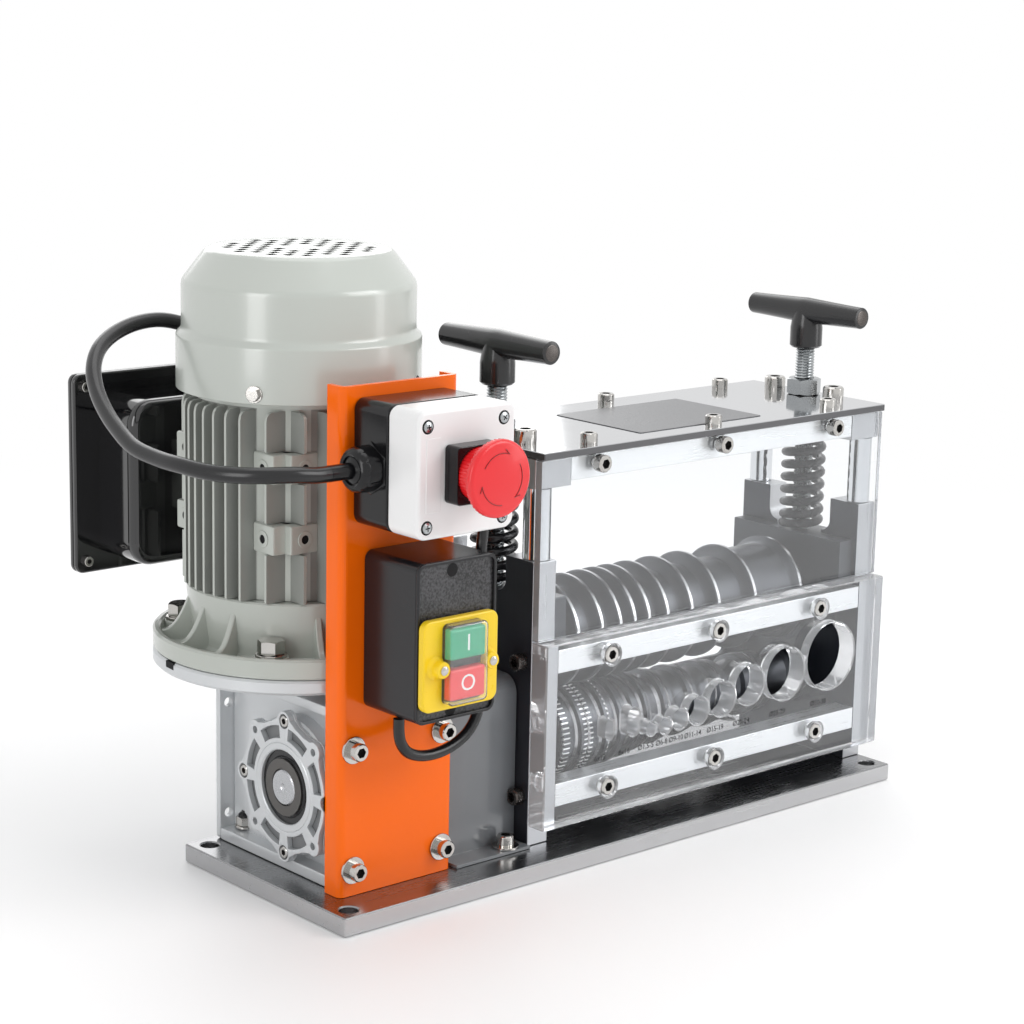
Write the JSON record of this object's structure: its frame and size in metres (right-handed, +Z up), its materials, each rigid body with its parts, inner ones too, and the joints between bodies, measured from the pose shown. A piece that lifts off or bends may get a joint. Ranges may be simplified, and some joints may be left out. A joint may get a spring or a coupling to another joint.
{
  "type": "wire stripping machine",
  "caption": "Bench wire stripping machine: geared motor turning feed rollers under a liftable blade shaft, clear guards with sized feed holes, tee screws, switch box and stop button.",
  "frame": {"origin": "centre of the base plate's underside", "axes": "+X to the right along the feed shaft, motor on the left; -Y is the operator's side; +Z up"},
  "size_m": [0.4953, 0.279, 0.3455],
  "materials": {
    "ground_steel": "ground plate with bright edges",
    "plate_steel": "smooth pale plate, glossy",
    "dark_steel": "dark satin steel",
    "chrome": "polished",
    "zinc": "zinc plated",
    "turned_steel": "turned and satin",
    "brushed_aluminium": "brushed along its length",
    "cast_aluminium": "silver paint over a casting",
    "motor_enamel": "pale grey-green enamel",
    "grey_enamel": "mid grey enamel",
    "clear_acrylic": "clear sheet with polished edges",
    "clear_soft": "clear flexible cap",
    "orange_enamel": "gloss powder coat",
    "black_enamel": "black satin",
    "gloss_black": "high gloss black",
    "spring_steel": "black oil finish",
    "black_plastic": "moulded black",
    "charcoal_plastic": "fine texture",
    "white_plastic": "moulded white",
    "red_plastic": "moulded red",
    "green_plastic": "moulded green",
    "yellow_plastic": "moulded yellow",
    "bronze": "cast bronze",
    "rotor_iron": "laminated core",
    "cable_rubber": "black cable jacket"
  },
  "bodies": {
    "frame": {"base_plate": "ground_steel", "end_plate_left": "dark_steel", "end_plate_right": "dark_steel", "guide_post_front_left": "chrome", "guide_post_back_left": "chrome", "guide_post_front_right": "chrome", "guide_post_back_right": "chrome", "end_block_left": "ground_steel", "end_block_right": "ground_steel", "top_bar_front": "brushed_aluminium", "top_bar_back": "brushed_aluminium", "top_plate": "plate_steel", "tie_bar_upper": "brushed_aluminium", "tie_bar_lower": "brushed_aluminium", "feed_guard": "clear_acrylic", "upper_guard": "clear_acrylic", "back_guard": "dark_steel", "pressure_spring_left": "spring_steel", "lock_nut_left": "zinc", "pressure_spring_right": "spring_steel", "lock_nut_right": "zinc", "gearbox_housing": "cast_aluminium", "gearbox_cover_left": "cast_aluminium", "gearbox_cover_right": "cast_aluminium", "input_flange": "cast_aluminium", "motor_flange": "motor_enamel", "motor_frame": "motor_enamel", "rear_end_shield": "cast_aluminium", "fan_cover": "motor_enamel", "capacitor_box": "gloss_black", "capacitor_box_lid": "gloss_black", "capacitor": "black_plastic", "control_bracket": "orange_enamel", "estop_base": "black_plastic", "estop_cover": "white_plastic", "estop_collar": "white_plastic", "cable_gland": "black_plastic", "switch_box": "charcoal_plastic", "switch_frame": "yellow_plastic", "switch_lens": "clear_soft", "motor_cable": "cable_rubber", "switch_cable": "cable_rubber", "tunnel_cover": "grey_enamel"},
    "carriage": {"bearing_block_left": "dark_steel", "bearing_block_right": "dark_steel"},
    "blade_arbor": {"blade_shaft": "turned_steel", "blade_stack": "turned_steel"},
    "left_tee": {"tee_screw_left": "black_enamel"},
    "right_tee": {"tee_screw_right": "black_enamel"},
    "drive": {"feed_shaft": "turned_steel", "feed_rollers": "turned_steel", "worm_wheel": "bronze"},
    "motor_rotor": {"rotor": "rotor_iron", "worm": "turned_steel", "cooling_fan": "black_plastic"},
    "estop_plunger": {"estop_stem": "red_plastic"},
    "estop_knob": {"estop_head": "red_plastic"},
    "start_key": {"start_button": "green_plastic"},
    "stop_key": {"stop_button": "red_plastic"}
  },
  "joints": [
    {"name": "carriage_lift", "type": "slide", "parent": "frame", "child": "carriage", "axis": [0, 0, 1], "range_m": [0, 0.018], "deforming": ["pressure_spring_left", "pressure_spring_right"]},
    {"name": "blade_spin", "type": "hinge", "parent": "carriage", "child": "blade_arbor", "pos_m": [0, 0, 0.118], "axis": [1, 0, 0], "continuous": true},
    {"name": "left_tee_turn", "type": "hinge", "parent": "carriage", "child": "left_tee", "pos_m": [-0.05365, 0, 0.2896], "axis": [0, 0, 1], "range_deg": [0, 3710]},
    {"name": "right_tee_turn", "type": "hinge", "parent": "carriage", "child": "right_tee", "pos_m": [0.20135, 0, 0.2896], "axis": [0, 0, 1], "range_deg": [0, 3710]},
    {"name": "drive_spin", "type": "hinge", "parent": "frame", "child": "drive", "pos_m": [0, 0, 0.06], "axis": [1, 0, 0], "continuous": true},
    {"name": "motor_spin", "type": "hinge", "parent": "frame", "child": "motor_rotor", "pos_m": [-0.1615, 0.04, 0.198], "axis": [0, 0, 1], "continuous": true},
    {"name": "estop_press", "type": "slide", "parent": "frame", "child": "estop_plunger", "axis": [0, 1, 0], "range_m": [0, 0.005]},
    {"name": "estop_twist", "type": "hinge", "parent": "estop_plunger", "child": "estop_knob", "pos_m": [-0.161, -0.12, 0.246], "axis": [0, 1, 0], "range_deg": [0, 40], "stiffness_Nm_per_rad": 0.05},
    {"name": "start_press", "type": "slide", "parent": "frame", "child": "start_key", "axis": [0, 1, 0], "range_m": [0, 0.003], "stiffness_N_per_m": 400},
    {"name": "stop_press", "type": "slide", "parent": "frame", "child": "stop_key", "axis": [0, 1, 0], "range_m": [0, 0.003], "stiffness_N_per_m": 400}
  ],
  "couplings": [
    {"joint": "left_tee_turn", "follows": "carriage_lift", "rad_per_m": 3590.4},
    {"joint": "right_tee_turn", "follows": "carriage_lift", "rad_per_m": 3590.4},
    {"joint": "motor_spin", "follows": "drive_spin", "ratio": 30}
  ]
}
